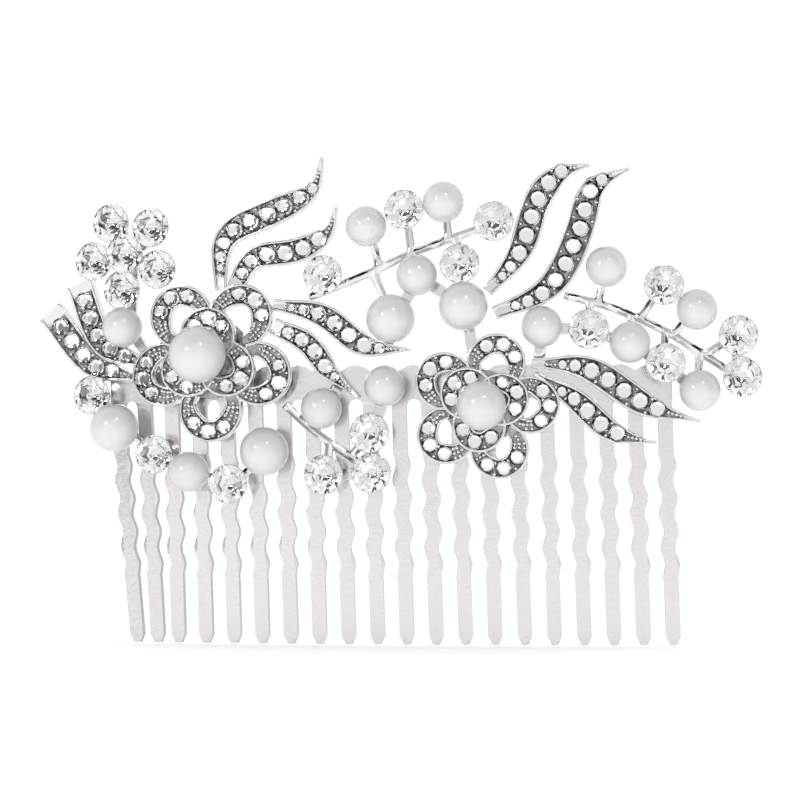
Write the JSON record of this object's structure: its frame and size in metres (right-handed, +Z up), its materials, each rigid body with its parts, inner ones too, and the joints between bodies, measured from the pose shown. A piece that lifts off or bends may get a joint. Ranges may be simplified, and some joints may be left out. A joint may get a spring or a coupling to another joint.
{
  "type": "floral hair comb",
  "caption": "Decorative metal side comb with wavy teeth, carrying a cast spray of leaves and two flowers set with faux pearls and crystals.",
  "frame": {"origin": "middle of the flat back face of the comb's spine", "axes": "+X to the right seen from the front, +Y into the head, +Z up, away from the tooth tips"},
  "size_m": [0.1025, 0.0161, 0.068],
  "materials": {
    "comb_metal": "satin silver plating",
    "cast_metal": "bright rhodium plating",
    "pearl": "pearlescent coating",
    "crystal": "faceted and foiled behind"
  },
  "bodies": {
    "root": {"cluster_carrier": "cast_metal", "cluster_pearl": "pearl", "cluster_stone_1": "crystal", "cluster_stone_2": "crystal", "cluster_stone_3": "crystal", "cluster_stone_4": "crystal", "cluster_stone_5": "crystal", "cluster_stone_6": "crystal", "comb": "comb_metal", "crown_leaf_1": "cast_metal", "crown_leaf_2": "cast_metal", "heart_leaf_1": "cast_metal", "heart_leaf_2": "cast_metal", "left_arc": "cast_metal", "left_arc_pearl_1": "pearl", "left_arc_pearl_2": "pearl", "left_arc_pearl_3": "pearl", "left_arc_stone_1": "crystal", "left_arc_stone_2": "crystal", "left_arc_stone_3": "crystal", "left_flower_inner_petals": "cast_metal", "left_flower_outer_petals": "cast_metal", "left_flower_pearl": "pearl", "left_leaf_1": "cast_metal", "left_leaf_2": "cast_metal", "lower_branch": "cast_metal", "lower_branch_pearl_1": "pearl", "lower_branch_pearl_2": "pearl", "lower_branch_stone_1": "crystal", "lower_branch_stone_2": "crystal", "lower_branch_stone_3": "crystal", "right_branch": "cast_metal", "right_branch_pearl_1": "pearl", "right_branch_pearl_2": "pearl", "right_branch_pearl_3": "pearl", "right_branch_pearl_4": "pearl", "right_branch_pearl_5": "pearl", "right_branch_stone_1": "crystal", "right_branch_stone_2": "crystal", "right_branch_stone_3": "crystal", "right_branch_stone_4": "crystal", "right_branch_stone_5": "crystal", "right_flower_inner_petals": "cast_metal", "right_flower_outer_petals": "cast_metal", "right_flower_pearl": "pearl", "right_leaf_1": "cast_metal", "right_leaf_2": "cast_metal", "top_leaf_1": "cast_metal", "top_leaf_2": "cast_metal", "upper_branch": "cast_metal", "upper_branch_pearl_1": "pearl", "upper_branch_pearl_2": "pearl", "upper_branch_pearl_3": "pearl", "upper_branch_pearl_4": "pearl", "upper_branch_pearl_5": "pearl", "upper_branch_stone_1": "crystal", "upper_branch_stone_2": "crystal", "upper_branch_stone_3": "crystal", "upper_branch_stone_4": "crystal"}
  },
  "joints": []
}
